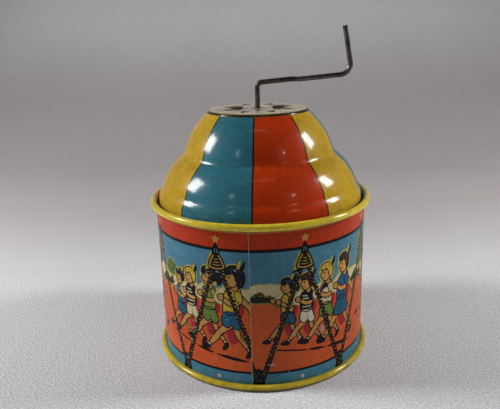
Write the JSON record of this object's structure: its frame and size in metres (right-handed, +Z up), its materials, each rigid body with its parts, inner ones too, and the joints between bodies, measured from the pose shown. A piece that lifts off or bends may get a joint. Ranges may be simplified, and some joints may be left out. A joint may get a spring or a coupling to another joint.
{
  "type": "hand-cranked tin musical toy",
  "caption": "Round printed tin drum with a stepped dome lid and a bent wire crank on top that turns a plucked tine movement inside.",
  "frame": {"origin": "on the drum's axis, in the plane that the base bead stands on", "axes": "+Z up along the drum's axis and the crank shaft, +X along the crank's arm at rest, -Y towards the front of the print"},
  "size_m": [0.09, 0.09, 0.1305],
  "materials": {
    "printed_wall": "litho-printed and varnished tinplate, glossy, light scuffs",
    "printed_dome": "litho-printed and varnished tinplate, glossy, light scuffs",
    "yellow_tin": "yellow litho varnish, worn through to tin on the edge",
    "bright_tin": "bare tinplate, dulled",
    "cast_zinc": "zinc die casting, matte grey",
    "plated_screw": "zinc plated steel",
    "brass": "turned brass, dulled",
    "crank_steel": "drawn steel wire, oxidised dark",
    "spring_steel": "tempered spring steel"
  },
  "bodies": {
    "case": {"drum_wall": "printed_wall", "base_pan": "yellow_tin", "dome_lid": "printed_dome", "bridge_frame": "bright_tin", "comb_plate": "cast_zinc", "comb_screws": "plated_screw", "lower_bush": "brass", "thrust_washer": "plated_screw", "tine_01": "spring_steel", "tine_02": "spring_steel", "tine_03": "spring_steel", "tine_04": "spring_steel", "tine_05": "spring_steel", "tine_06": "spring_steel", "tine_07": "spring_steel", "tine_08": "spring_steel", "tine_09": "spring_steel", "tine_10": "spring_steel", "tine_11": "spring_steel", "tine_12": "spring_steel"},
    "crank": {"crank_wire": "crank_steel", "rotor_hub": "brass", "plectrum_1": "spring_steel", "plectrum_2": "spring_steel", "plectrum_3": "spring_steel", "hub_pin": "plated_screw", "end_washer": "plated_screw", "end_clip": "spring_steel"}
  },
  "joints": [
    {"name": "crank_spin", "type": "hinge", "parent": "case", "child": "crank", "pos_m": [0, 0, 0.1], "axis": [0, 0, 1], "continuous": true}
  ]
}
